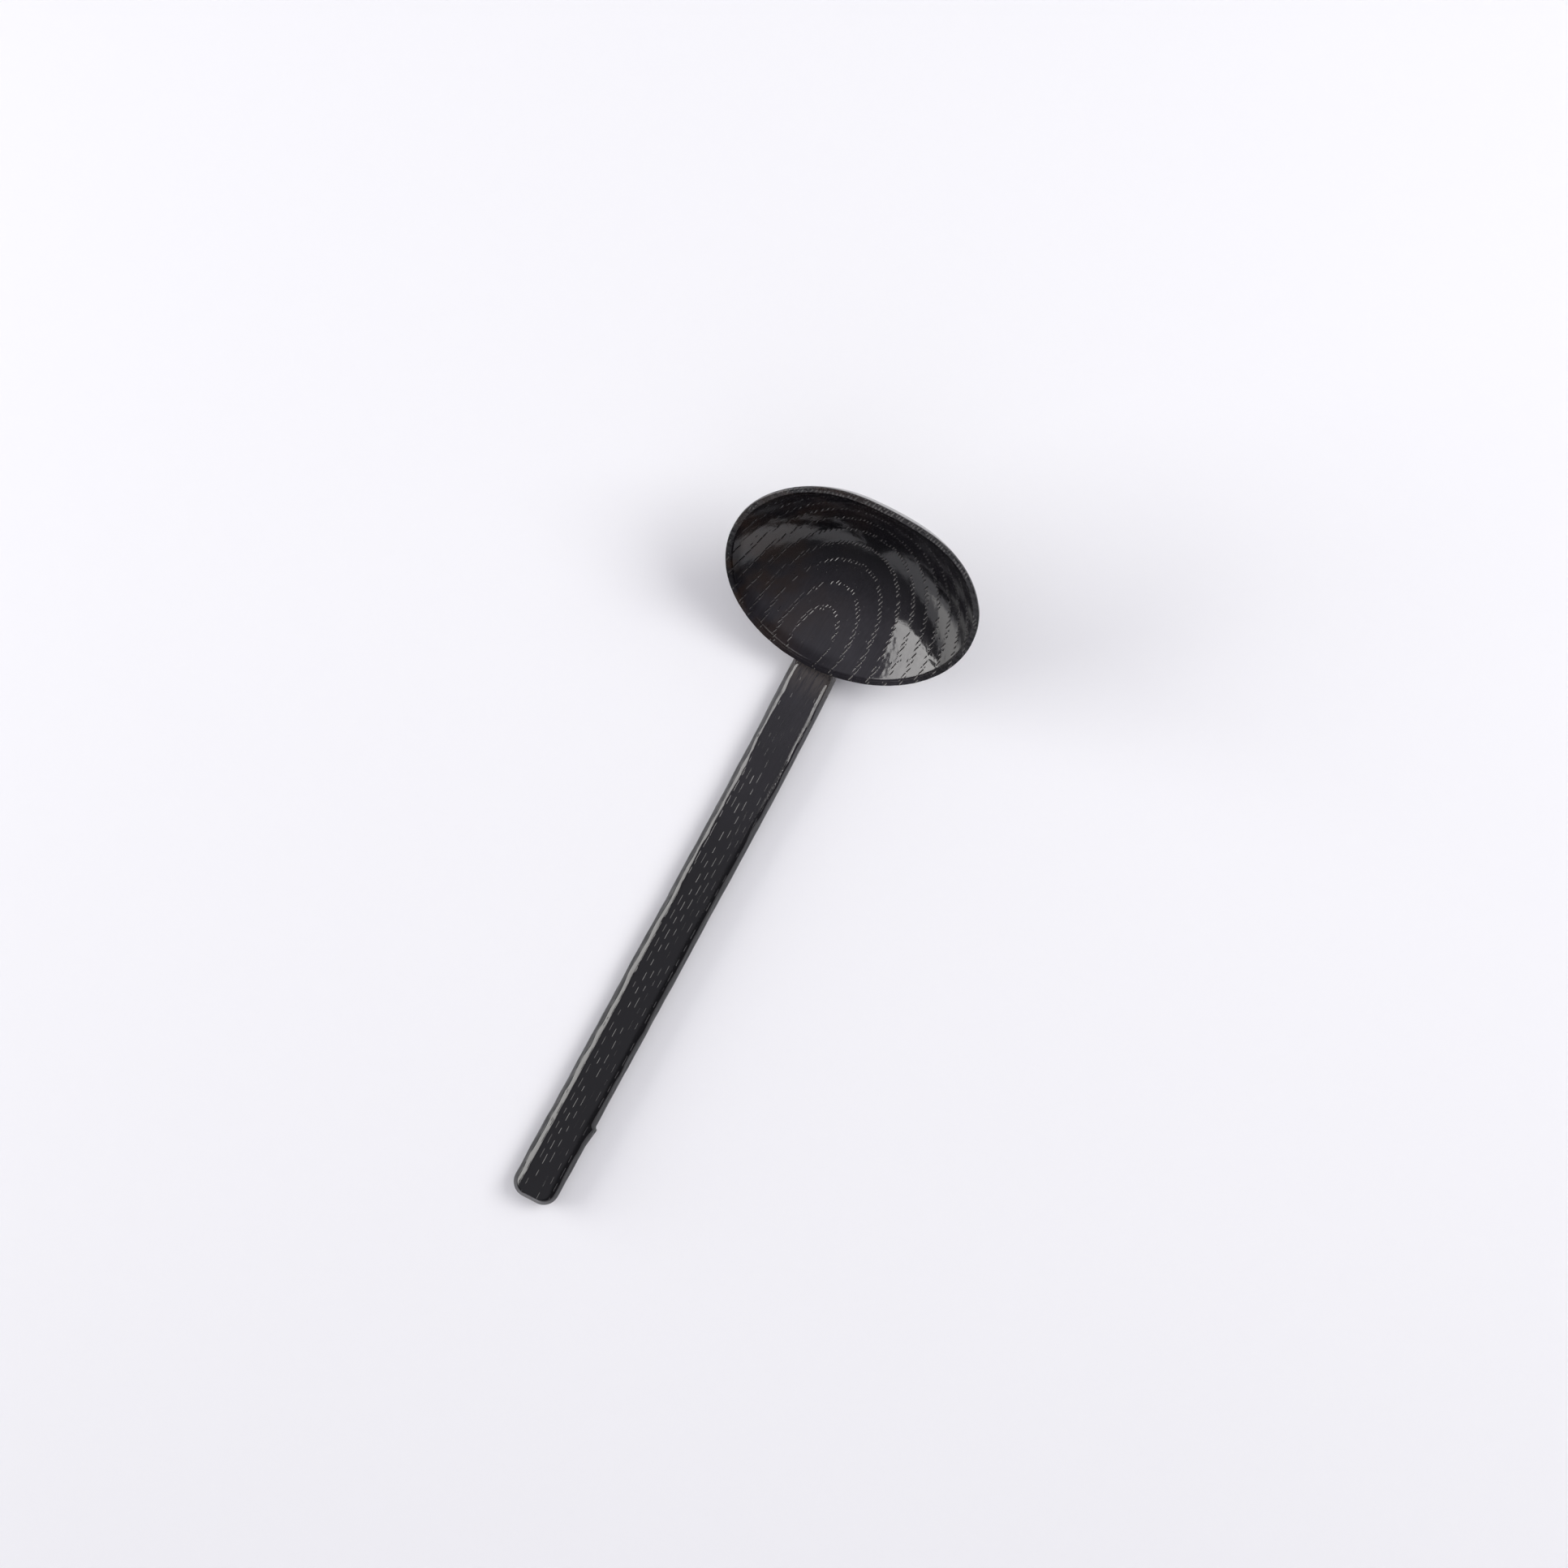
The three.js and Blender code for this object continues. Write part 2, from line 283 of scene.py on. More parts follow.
def half_section(flat, upper_x, first_slope, last_slope):
    """Half of the section, from the middle of the top round to the middle of the foot.

    Each row holds the distance from the middle, the height, how far the point stops short of the
    handle's end, and the width that it shrinks with there. The bevel is slightly round: its slope grows
    from the first to the last.
    """
    half = HANDLE_WIDTH / 2
    top = HANDLE_THICKNESS
    slopes = np.linspace(first_slope, last_slope, BEVEL_STEPS)
    bevel_x = np.linspace(flat, upper_x, BEVEL_STEPS)
    bevel_z = top - np.concatenate([[0], np.cumsum(np.diff(bevel_x) * np.tan(slopes[1:]))])
    short = np.linspace(END_TOP, SIDE_RUN, BEVEL_STEPS)
    bevel = np.stack([bevel_x, bevel_z, short, bevel_x], -1)[:-1]
    upper = (upper_x, bevel_z[-1], SIDE_RUN, upper_x)
    lower = (half, bevel_z[-1] - (half - upper_x) * math.tan(SIDE_SLOPE), 0, half)
    turn = np.linspace(0, math.pi / 2, 11)
    foot_x = half - FOOT_ROUND * (1 - np.cos(turn))
    foot = np.stack([foot_x, FOOT_ROUND * (1 - np.sin(turn)), half - foot_x, foot_x], -1)
    return np.concatenate(
        [
            run((0, top, END_TOP, flat), (flat, top, END_TOP, flat), TOP_STEPS),
            bevel,
            run(upper, lower, BEVEL_STEPS),
            run(lower, foot[0], 8),
            foot,
            run(foot[-1], (0, 0, FOOT_ROUND, foot_x[-1]), FOOT_STEPS)[1:],
            [(0, 0, FOOT_ROUND, foot_x[-1])],
        ]
    )


def wander(y, size, seed):
    """Unevenness along the handle alone."""
    return uneven(np.array([[0.0, y, 0.0]]), size, seed)[0]


def section(y):
    """The whole section at a distance from the handle's end, with its corners slightly rounded."""
    near_bowl = smoothstep(y, 130, 165)
    rough_cut = smoothstep(y, 50, 120)
    run_out = 1 - smoothstep(y, 1.5, 8)
    upper_x = HANDLE_WIDTH / 2 - SIDE_RUN + 0.16 * wander(y, 6, 51)
    flat = TOP_FLAT + (0.12 + 0.15 * rough_cut + 0.2 * near_bowl) * wander(y, 8, 52) + 1.2 * run_out
    flat += 0.16 * rough_cut * wander(y, 3.2, 57) + 0.35 * near_bowl
    last_slope = math.radians(40 - 6 * rough_cut + (2 + 5 * rough_cut) * wander(y, 9, 53))
    left = half_section(flat, upper_x, math.radians(15 - 9 * rough_cut), last_slope)
    upper_x = HANDLE_WIDTH / 2 - SIDE_RUN + 0.12 * wander(y, 6, 54)
    flat = TOP_FLAT + 0.17 * wander(y, 10, 55) + 0.6 * run_out
    last_slope = math.radians(44 - 15 * near_bowl + 3 * wander(y, 11, 56))
    right = half_section(flat, upper_x, math.radians(22 - 12 * near_bowl), last_slope)
    ring = np.concatenate([right, left[-2:0:-1] * (-1, 1, 1, 1)])
    for _ in range(2):
        ring = (np.roll(ring, 1, 0) + 2 * ring + np.roll(ring, -1, 0)) / 4
    return ring, len(right)


def sphere_bottom(squared):
    """The height of the bowl's back at a squared distance from its centre, seen from above."""
    return back_centre[2] - np.sqrt(np.maximum(BACK_RADIUS**2 - squared, 0))


def back_height(y):
    """The height of the bowl's back over the handle's middle."""
    return sphere_bottom((y + END_Y - back_centre[1]) ** 2)


def top_height(y):
    """The height of the handle's top, which steps up at the neck and then follows the bowl's back."""
    rise = smoothstep(y, HANDLE_LENGTH - 2.4, HANDLE_LENGTH + 0.4) ** 2
    level = HANDLE_THICKNESS + NECK_STEP * 0.8 * rise
    under_bowl = np.minimum(back_height(y) + 1.2, level + 0.8 * np.maximum(y - HANDLE_LENGTH, 0))
    return np.where(y <= HANDLE_LENGTH, level, under_bowl)


def foot_height(y):
    """The height of the handle's foot, which is flat and then curves up as the heel."""
    share = np.maximum(y - HEEL_FROM, 0) / (HEEL_TO - HEEL_FROM)
    return back_height(HEEL_TO) * share**HEEL_POWER


def half_width(y):
    share = np.clip((y - HEEL_FROM) / (HEEL_TO - HEEL_FROM), 0, 1)
    return HANDLE_WIDTH / 2 - (HANDLE_WIDTH / 2 - HEEL_HALF_WIDTH) * share**2


def middle_x(y):
    return HANDLE_X - HANDLE_BOW * (np.maximum(y - BOW_FROM, 0) / (HANDLE_LENGTH - BOW_FROM)) ** 2


def handle_coat():
    """A closed bar of lacquer, from the rounded end to the heel that dies into the bowl's back."""
    turns = np.linspace(0, math.pi / 2, 14)
    stations = [(END_CORNER * (1 - math.cos(t)), t) for t in turns]
    stations += [(y, math.pi / 2) for y in np.arange(END_CORNER + 0.5, HEEL_TO + 1.5, 0.5)]
    rows = []
    for station, turn in stations:
        ring, half_count = section(station)
        across, up, short, reach = ring.T
        corner = END_CORNER - short
        y = np.where(turn < math.pi / 2, short + corner * (1 - math.cos(turn)), station)
        shrink = 1 - corner * (1 - math.sin(turn)) / reach
        wide = half_width(y) / (HANDLE_WIDTH / 2)
        low = foot_height(y)
        height = low + up / HANDLE_THICKNESS * (top_height(y) - low)
        x = middle_x(y) + across * shrink * wide
        # Under the bowl the sides reach up into its back, so that no wood shows.
        off_axis = (x - back_centre[0]) ** 2 + (y + END_Y - back_centre[1]) ** 2
        bowl_back = sphere_bottom(off_axis)
        joined = smoothstep(y, HANDLE_LENGTH + 0.5, HANDLE_LENGTH + 4)
        joined = joined * smoothstep(up, HANDLE_THICKNESS - 4.2, HANDLE_THICKNESS - 3.4)
        height = height + joined * np.maximum(bowl_back + 0.6 - height, 0)
        rows.append(np.stack([x, y + END_Y, height], -1))
    points = np.array(rows)
    count = points.shape[1]

    # Unevenness from the plane and the knife, strongest on the sides and none on the foot.
    flat = points.reshape(-1, 3)
    y = flat[:, 1] - END_Y
    across = flat[:, 0] - middle_x(y)
    above_foot = smoothstep(flat[:, 2] - foot_height(y), 0.8, 4.0)
    body = smoothstep(y, 0, 9)
    stretched = flat * (1, 0.35, 1)
    wave = 0.07 * uneven(stretched, 6, 41) + 0.05 * uneven(stretched, 2.4, 42)
    chip = 0.75 * np.clip((y - 23) / 5.5, 0, 1) * smoothstep(y, 29.8, 29.0) * (across > 0)
    side_share = smoothstep(np.abs(across), 4.4, 7.2)
    flat[:, 0] += np.sign(across) * side_share * above_foot * (wave * body + chip)
    top = smoothstep(flat[:, 2] - foot_height(y), 8.6, 9.1) * body * (y < HANDLE_LENGTH - 2)
    flat[:, 2] += top * (0.03 * uneven(flat * (1, 0.3, 1), 8, 43))

    index = np.arange(len(flat)).reshape(-1, count)
    following = np.roll(index, -1, 1)
    quads = np.stack([index[:-1], index[1:], following[1:], following[:-1]], -1).reshape(-1, 4)
    # The end is closed straight across, between points at one level, and the heel by one face.
    edge, heel_edge = TOP_STEPS, half_count - FOOT_STEPS
    caps = [[*range(edge, 0, -1), 0, *range(count - 1, count - edge - 1, -1)]]
    caps += [[k, k + 1, count - k - 1, count - k] for k in range(edge, heel_edge)]
    caps += [list(range(heel_edge, count - heel_edge + 1))]
    caps += [index[-1].tolist()]
    return flat, quads, caps


def add_mesh(name, points, quads, caps=()):
    mesh = bpy.data.meshes.new(name)
    faces = quads.tolist() + list(caps)
    mesh.from_pydata((points * MM).tolist(), [], faces)
    shape = bmesh.new()
    shape.from_mesh(mesh)
    bmesh.ops.recalc_face_normals(shape, faces=shape.faces)
    shape.to_mesh(mesh)
    shape.free()
    mesh.polygons.foreach_set("use_smooth", np.ones(len(mesh.polygons), bool))
    mesh.update()
    piece = bpy.data.objects.new(name, mesh)
    bpy.context.scene.collection.objects.link(piece)
    return piece


# ---- Materials, written as plain sums over a node tree ----
class Num:
    """A socket that can be added, multiplied and so on."""

    def __init__(self, graph, socket):
        self.graph, self.socket = graph, socket

    def __add__(self, other):
        return self.graph.math("ADD", self, other)

    def __sub__(self, other):
        return self.graph.math("SUBTRACT", self, other)

    def __rsub__(self, other):
        return self.graph.math("SUBTRACT", other, self)

    def offset(self, other):
        """The vector less a fixed one."""
        made = self.graph.node("ShaderNodeVectorMath", operation="SUBTRACT")
        self.graph.feed(made.inputs[0], self)
        made.inputs[1].default_value = other
        return Num(self.graph, made.outputs[0])

    def __mul__(self, other):
        return self.graph.math("MULTIPLY", self, other)

    def __truediv__(self, other):
        return self.graph.math("DIVIDE", self, other)

    __radd__, __rmul__ = __add__, __mul__


class Graph:
    def __init__(self, name):
        self.material = bpy.data.materials.new(name)
        self.material.use_nodes = True
        self.tree = self.material.node_tree
        self.tree.nodes.clear()
        self.output = self.node("ShaderNodeOutputMaterial")

    def node(self, kind, **settings):
        made = self.tree.nodes.new(kind)
        for key, value in settings.items():
            setattr(made, key, value)
        return made

    def feed(self, socket, value):
        if isinstance(value, Num):
            self.tree.links.new(value.socket, socket)
        else:
            socket.default_value = value

    def math(self, operation, *values):
        made = self.node("ShaderNodeMath", operation=operation)
        for socket, value in zip(made.inputs, values):
            self.feed(socket, value)
        return Num(self, made.outputs[0])

    def dot(self, vector, axis):
        made = self.node("ShaderNodeVectorMath", operation="DOT_PRODUCT")
        self.feed(made.inputs[0], vector)
        made.inputs[1].default_value = axis.tolist()
        return Num(self, made.outputs["Value"])

    def fract(self, value):
        return self.math("FRACT", value)

    def floor(self, value):
        return self.math("FLOOR", value)

    def smooth(self, value, low, high, start=0.0, end=1.0):
        made = self.node("ShaderNodeMapRange", interpolation_type="SMOOTHSTEP")
        for socket, given in zip(made.inputs, (value, low, high, start, end)):
            self.feed(socket, given)
        return Num(self, made.outputs[0])

    def combine(self, x, y, z):
        made = self.node("ShaderNodeCombineXYZ")
        for socket, value in zip(made.inputs, (x, y, z)):
            self.feed(socket, value)
        return Num(self, made.outputs[0])

    def split(self, vector):
        made = self.node("ShaderNodeSeparateXYZ")
        self.feed(made.inputs[0], vector)
        return [Num(self, s) for s in made.outputs]

    def position(self):
        """The point in the row frame, in millimetres."""
        place = self.node("ShaderNodeTexCoord").outputs["Object"]
        made = self.node("ShaderNodeVectorMath", operation="SCALE")
        self.tree.links.new(place, made.inputs[0])
        made.inputs["Scale"].default_value = 1 / MM
        return Num(self, made.outputs[0])

    def noise(self, vector, scale, detail=2.0, rough=0.5):
        made = self.node("ShaderNodeTexNoise")
        self.feed(made.inputs["Vector"], vector)
        self.feed(made.inputs["Scale"], scale)
        self.feed(made.inputs["Detail"], detail)
        self.feed(made.inputs["Roughness"], rough)
        return Num(self, made.outputs[0])

    def chance(self, x, y, z):
        """Three numbers from 0 to 1 that stay the same within a cell."""
        made = self.node("ShaderNodeTexWhiteNoise", noise_dimensions="3D")
        self.feed(made.inputs["Vector"], self.combine(x, y, z))
        return self.split(Num(self, made.outputs["Color"]))

    def mix(self, share, first, second):
        made = self.node("ShaderNodeMix", data_type="RGBA")
        self.feed(made.inputs["Factor"], share)
        self.feed(made.inputs[6], first)
        self.feed(made.inputs[7], second)
        return Num(self, made.outputs[2])

    def bump(self, height, distance=MM):
        made = self.node("ShaderNodeBump")
        made.inputs["Strength"].default_value = 1.0
        made.inputs["Distance"].default_value = distance
        self.feed(made.inputs["Height"], height)
        return Num(self, made.outputs[0])

    def surface(self, **sockets):
        made = self.node("ShaderNodeBsdfPrincipled")
        for name, value in sockets.items():
            self.feed(made.inputs[name.replace("_", " ")], value)
        self.tree.links.new(made.outputs[0], self.output.inputs[0])
        return self.material


def grain_axes(g, p):
    """Distance along the fibres, distance from the pith as the rings count it, and the way round it."""
    from_pith = p.offset(PITH.tolist())
    along, across, outward = (g.dot(from_pith, axis) for axis in (FIBRE, ACROSS, OUTWARD))
    radius = g.math("SQRT", across * across + outward * outward)
    drift = (g.noise(p, 0.035, 1.0) - 0.5) * 1.4
    tight = g.smooth(radius, TIGHT_RING - 1.5, TIGHT_RING + 1.5, TIGHTENING, 0.0)
    angle = g.math("ARCTAN2", across, outward)
    return along, radius + drift - tight, angle


def pores(g, along, depth, way_round, pitch, row, spacing, length, thick, wide, scatter, share, seed):
    """Grooves in rows, 0 outside and 1 at their deepest: along the fibre, depth counts the rings."""
    ring = g.floor(depth / pitch)
    place = depth - ring * pitch - row
    column = way_round / spacing + ring * 0.37
    cell = g.floor(column)
    shift, lift, phase = g.chance(ring, cell, seed)
    step = along / length + phase * TURNS_AWAY
    present, reach, wobble = g.chance(ring * 13.1 + cell, g.floor(step), seed + 5.5)
    sideways = (g.fract(column) - 0.5) * spacing + (shift - 0.5) * (spacing * 0.45)
    upward = place + (lift + wobble - 1.0) * scatter
    from_middle = g.math("ABSOLUTE", g.fract(step) - 0.5)
    ends = g.smooth(from_middle - reach * 0.18, 0.14, 0.26, 1.0, 0.0)
    away = g.math("POWER", sideways / wide, 2.0) + g.math("POWER", upward / thick, 2.0)
    groove = g.math("MAXIMUM", 1.0 - g.math("SQRT", away), 0.0)
    return groove * ends * g.math("LESS_THAN", present, share)


def ring_slope(g, p):
    """How steeply the year rings cut the bowl's surface: the sine of the angle between them."""
    from_pith = p.offset(PITH.tolist())
    from_centre = p.offset(lining_centre.tolist())
    across, outward = g.dot(from_pith, ACROSS), g.dot(from_pith, OUTWARD)
    both = across * g.dot(from_centre, ACROSS) + outward * g.dot(from_centre, OUTWARD)
    cosine = both / (g.math("SQRT", across * across + outward * outward) * LINING_RADIUS)
    return g.math("SQRT", g.math("MAXIMUM", 1.0 - cosine * cosine, 0.01))


def strokes(g, p, radius):
    """The bowl's large pores: short slanting cuts where the rows are, and the side of each that gets a
    painted highlight, partly rubbed lacquer.
    """
    along, across = g.dot(p, STROKE_ALONG), g.dot(p, STROKE_ACROSS)
    column = across / STROKE_SPACING + KEEP_POSITIVE
    cell = g.floor(column)
    shift, _, phase = g.chance(cell, 3.0, 1.0)
    step = along / STROKE_LENGTH + phase * TURNS_AWAY + KEEP_POSITIVE
    present, bend, nudge = g.chance(cell, g.floor(step), 6.5)
    from_middle = g.fract(step) - 0.5
    sideways = (g.fract(column) - 0.5) * STROKE_SPACING + (shift - 0.5) * 0.2 + (nudge - 0.5) * 0.15
    sideways = sideways + from_middle * (bend - 0.5) * 0.5
    place = radius / RING_PITCH
    off_row = g.math("ABSOLUTE", g.fract(place) * RING_PITCH - PORE_ROW + (bend - 0.5) * 0.3)
    in_row = g.smooth(off_row / ring_slope(g, p), 0.45, 0.8, 1.0, 0.0)
    ends = g.smooth(g.math("ABSOLUTE", from_middle), 0.3, 0.48, 1.0, 0.0)
    shown = in_row * ends * g.math("LESS_THAN", present, 0.93)
    groove = g.math("MAXIMUM", 1.0 - g.math("ABSOLUTE", sideways) / STROKE_HALF_WIDTH, 0.0) * shown
    # A light band along one side of each cut: painted highlight for the glint off its wall, partly rubbed
    # lacquer.
    rubbed_glint_side = g.smooth(sideways, -0.02, 0.1) * g.smooth(sideways, 0.36, 0.24) * shown
    return groove, rubbed_glint_side


def lacquer(name, handle=False):
    """Black lacquer: its grooves, the wear on it, painted sheen and highlights, and its slight unevenness.
    """
    g = Graph(name)
    p = g.position()
    x, y, z = g.split(p)
    along, radius, angle = grain_axes(g, p)
    way_round = angle * WAY_ROUND
    if handle:
        depth = x + z * 0.3 + g.noise(p, 0.02, 1.0) * 1.0 + 40.0
        marks = pores(g, y, depth, z - x * 0.1, 1.75, 0.8, 2.2, 5.0, 0.14, 2.0, 0.12, 0.74, 1.0)
        fine = pores(g, y, depth, z, 0.8, 0.4, 1.2, 2.0, 0.12, 0.7, 0.1, 0.1, 2.0)
        marks = marks * g.smooth(y, 20.0, 60.0, 1.0, 0.5)
        # The handle's marks are painted a little lighter: painted highlight in the grain, partly rubbed
        # lacquer.
        rubbed_glint_side = marks * 0.13
    else:
        marks, rubbed_glint_side = strokes(g, p, radius)
        # The painted highlight on the cuts is stronger on the right-hand side and lower in the bowl, and
        # weaker on the back.
        rubbed_glint_side = rubbed_glint_side * g.smooth(x, -24.0, 0.0, 0.3, 1.0) * g.smooth(z, 22.0, 40.0, 1.0, 0.3)
        from_centre = p.offset(lining_centre.tolist())
        span = g.node("ShaderNodeVectorMath", operation="LENGTH")
        g.feed(span.inputs[0], from_centre)
        distance = Num(g, span.outputs["Value"])
        on_back = g.smooth(distance, LINING_RADIUS + 0.5, LINING_RADIUS + 1.2)
        rubbed_glint_side = rubbed_glint_side * (1.0 - on_back * 0.8)
        marks = marks * (1.0 - on_back * 0.4)
        fine = pores(g, along, radius, way_round, 1.19, 0.5, 1.7, 2.2, 0.2, 0.17, 0.2, 0.13, 2.0)
    sunk = g.math("MAXIMUM", marks, fine * 0.7)
    cloud = g.noise(p, 0.055, 3.0, 0.6)
    streak = g.noise(g.combine(along * 0.08, radius * 0.9, way_round * 0.9), 1.0, 3.0, 0.6)
    peel = g.noise(p, 0.5, 2.0, 0.5)
    scuff = g.noise(p, 2.6, 3.0, 0.7)
    # The film is painted lighter grey towards the bowl and lower down. This is partly a thinner film and
    # partly painted sheen for how the lacquer catches the light there. It is browner towards the bowl and
    # near its left-hand side.
    film_and_sheen = g.smooth(y, -15.0, 85.0, 0.0, 1.0) * g.smooth(z, 17.0, 30.0, 1.0, 0.25)
    film_and_sheen = film_and_sheen * (cloud * 0.8 + streak * 0.6)
    grey = g.mix(film_and_sheen, (0.0014, 0.0013, 0.0019, 1), (0.03, 0.0275, 0.033, 1))
    brown = g.smooth(x, 12.0, -32.0) * g.smooth(cloud, 0.4, 0.6) * 0.85
    if handle:
        neck_y = END_Y + HANDLE_LENGTH
        brown = g.smooth(y, neck_y - 11.0, neck_y - 1.0) * g.smooth(streak, 0.3, 0.58) * 0.75
    tone = g.mix(brown, grey, (0.06, 0.051, 0.045, 1) if handle else (0.022, 0.0125, 0.008, 1))
    tone = g.mix(g.math("MINIMUM", sunk * 1.5, 0.8), tone, (0.004, 0.004, 0.004, 1))
    # Lightens one side of each cut: painted highlight, partly rubbed lacquer.
    tone = g.mix(rubbed_glint_side * g.smooth(cloud, 0.3, 0.6, 0.45, 1.0), tone, (0.22, 0.208, 0.2, 1))
    height = sunk * (-0.07 if handle else -0.16) + peel * 0.02 + scuff * 0.0016
    rough = g.smooth(cloud * 0.5 + scuff * 0.5, 0.3, 0.75, 0.07, 0.16) + sunk * 0.12
    if not handle:
        crinkle = g.smooth(x, 10.0, 26.0) * g.smooth(y, 98.0, 84.0)
        height = height + g.noise(p, 0.42, 1.0) * 0.12 * crinkle
        above_rim = g.dot(p.offset(rim_centre.tolist()), opening)
        # The rim is rubbed dull, most of all on the side next to the handle.
        rough = rough + g.smooth(above_rim, -1.4, -0.4) * 0.16
        near_side = g.smooth(y, 78.0, 104.0, 1.0, 0.0) * g.smooth(x, 0.0, 12.0, 1.0, 0.0)
        lip = g.smooth(above_rim, -1.3, -0.7) * g.smooth(y, 78.0, 104.0, 0.76, 0.0)
        dull = g.math("MAXIMUM", lip, near_side * g.smooth(above_rim, -4.5, -2.2) * 0.8)
        return g.surface(
            Base_Color=tone, Roughness=rough, Specular_IOR_Level=0.5 - dull * 0.5, Normal=g.bump(height)
        )
    return g.surface(Base_Color=tone, Roughness=rough, Normal=g.bump(height))


def bare_wood(name):
    g = Graph(name)
    p = g.position()
    along, radius, angle = grain_axes(g, p)
    way_round = angle * WAY_ROUND
    marks = pores(g, along, radius, way_round, RING_PITCH, PORE_ROW, 0.74, 6.0, 0.42, 0.2, 0.28, 0.9, 1.0)
    fibres = g.noise(g.combine(along * 0.06, radius * 2.2, way_round * 2.2), 1.0, 4.0, 0.65)
    season = g.fract(radius / RING_PITCH)
    tone = g.mix(season, (0.42, 0.23, 0.1, 1), (0.25, 0.12, 0.05, 1))
    tone = g.mix(fibres * 0.5, tone, (0.5, 0.3, 0.15, 1))
    tone = g.mix(marks * 0.8, tone, (0.07, 0.03, 0.015, 1))
    rough = g.smooth(fibres, 0.2, 0.8, 0.55, 0.75)
    return g.surface(Base_Color=tone, Roughness=rough, Normal=g.bump(marks * -0.06 + fibres * 0.02))


# ---- The ladle ----
points, quads = bowl_coat()
bowl_piece = add_mesh("bowl_coat", points, quads)
bowl_piece.data.materials.append(lacquer("bowl_lacquer_black"))
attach(bowl_piece, "root")
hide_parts("bowl_inner_lacquer", "bowl_outer_lacquer", "rim_lacquer")

points, quads, caps = handle_coat()
handle_piece = add_mesh("handle_coat", points, quads, caps)
handle_piece.data.materials.append(lacquer("handle_lacquer_black", handle=True))
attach(handle_piece, "root")
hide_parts("handle_lacquer")

wood = bare_wood("bare_wood")
for name in ("bowl_wood", "handle_wood"):
    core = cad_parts[name]
    core.data.materials.clear()
    core.data.materials.append(wood)


# ---- The studio ----
def plain(name, color, rough=0.9):
    """Matt paper, a little uneven in tone."""
    g = Graph(name)
    p = g.position()
    soft = g.noise(p, 0.004, 2.0)
    shade = g.mix(soft, tuple(c * 0.985 for c in color[:3]) + (1,), color)
    return g.surface(Base_Color=shade, Roughness=rough, Specular_IOR_Level=0.0)


def flat_square(name, half, centre, height, material, hole=None):
    """A level square, or a square frame round a square hole. Half sides are in metres."""
    x, y = centre
    corners = [(-half, -half), (half, -half), (half, half), (-half, half)]
    points = [(x + a, y + b, height) for a, b in corners]
    faces = [(0, 1, 2, 3)]
    if hole:
        points += [(x + a * hole / half, y + b * hole / half, height) for a, b in corners]
        faces = [(i, (i + 1) % 4, (i + 1) % 4 + 4, i + 4) for i in range(4)]
    mesh = bpy.data.meshes.new(name)
    mesh.from_pydata(points, [], faces)
    mesh.materials.append(material)
    made = bpy.data.objects.new(name, mesh)
    bpy.context.scene.collection.objects.link(made)
    return made


CAMERA_X, CAMERA_Y, CAMERA_Z = 0.0107, 0.03245, 1.03
floor_paint = plain("floor_paint", (0.932, 0.928, 0.942, 1))
flat_square("floor", FLOOR_HALF, (CAMERA_X, CAMERA_Y), 0.0, floor_paint)
far_floor = flat_square("far_floor", 6.0, (CAMERA_X, CAMERA_Y), 0.0, floor_paint, hole=FLOOR_HALF)
far_floor.visible_glossy = False


def pale_sweep(name, inner, outer, rise):
    """Paper that curves up behind the ladle in low views. It fades in from the floor, and lights nothing."""
    turns = np.linspace(0, math.pi / 2, 12)
    profile = [(inner, SHEET_GAP), ((inner + outer) / 2, SHEET_GAP)]
    profile += [(outer + rise * math.sin(t), SHEET_GAP + rise * (1 - math.cos(t))) for t in turns]
    profile.append((outer + rise, 6.0))
    around = np.linspace(0, 2 * math.pi, 72, endpoint=False)
    points = [
        (CAMERA_X + r * math.cos(a), CAMERA_Y + r * math.sin(a), z) for r, z in profile for a in around
    ]
    index = np.arange(len(points)).reshape(-1, len(around))
    beyond = np.roll(index, -1, 1)
    faces = np.stack([index[:-1], beyond[:-1], beyond[1:], index[1:]], -1).reshape(-1, 4)
    g = Graph(name)
    x, y, z = g.split(g.position().offset((CAMERA_X / MM, CAMERA_Y / MM, 0)))
    away = g.math("SQRT", x * x + y * y)
    emission = g.node("ShaderNodeEmission")
    cloud = g.noise(g.position(), 0.001, 1.0)
    g.feed(emission.inputs["Color"], g.mix(cloud, (0.88, 0.875, 0.9, 1), (0.86, 0.855, 0.88, 1)))
    g.feed(emission.inputs["Strength"], g.smooth(z, 0.0, 2500.0, 1.0, 0.86))
    clear = g.node("ShaderNodeBsdfTransparent")
    blend = g.node("ShaderNodeMixShader")
    g.feed(blend.inputs[0], g.smooth(away, inner / MM, outer / MM))
    g.tree.links.new(clear.outputs[0], blend.inputs[1])
    g.tree.links.new(emission.outputs[0], blend.inputs[2])
    g.tree.links.new(blend.outputs[0], g.output.inputs[0])
    mesh = bpy.data.meshes.new(name)
    mesh.from_pydata(points, [], faces.tolist())
    mesh.polygons.foreach_set("use_smooth", np.ones(len(mesh.polygons), bool))
    mesh.materials.append(g.material)
    sweep = bpy.data.objects.new(name, mesh)
    sweep.visible_diffuse = False
    sweep.visible_glossy = False
    sweep.visible_shadow = False
    bpy.context.scene.collection.objects.link(sweep)


pale_sweep("pale_sweep", FLOOR_HALF, 1.7, 1.2)

SUBJECT = np.array([0.0, 0.094, 0.03])  # the middle of the bowl, which the lights are placed around


def direction(azimuth, elevation):
    a, e = math.radians(azimuth), math.radians(elevation)
    return np.array([math.cos(a) * math.cos(e), math.sin(a) * math.cos(e), math.sin(e)])


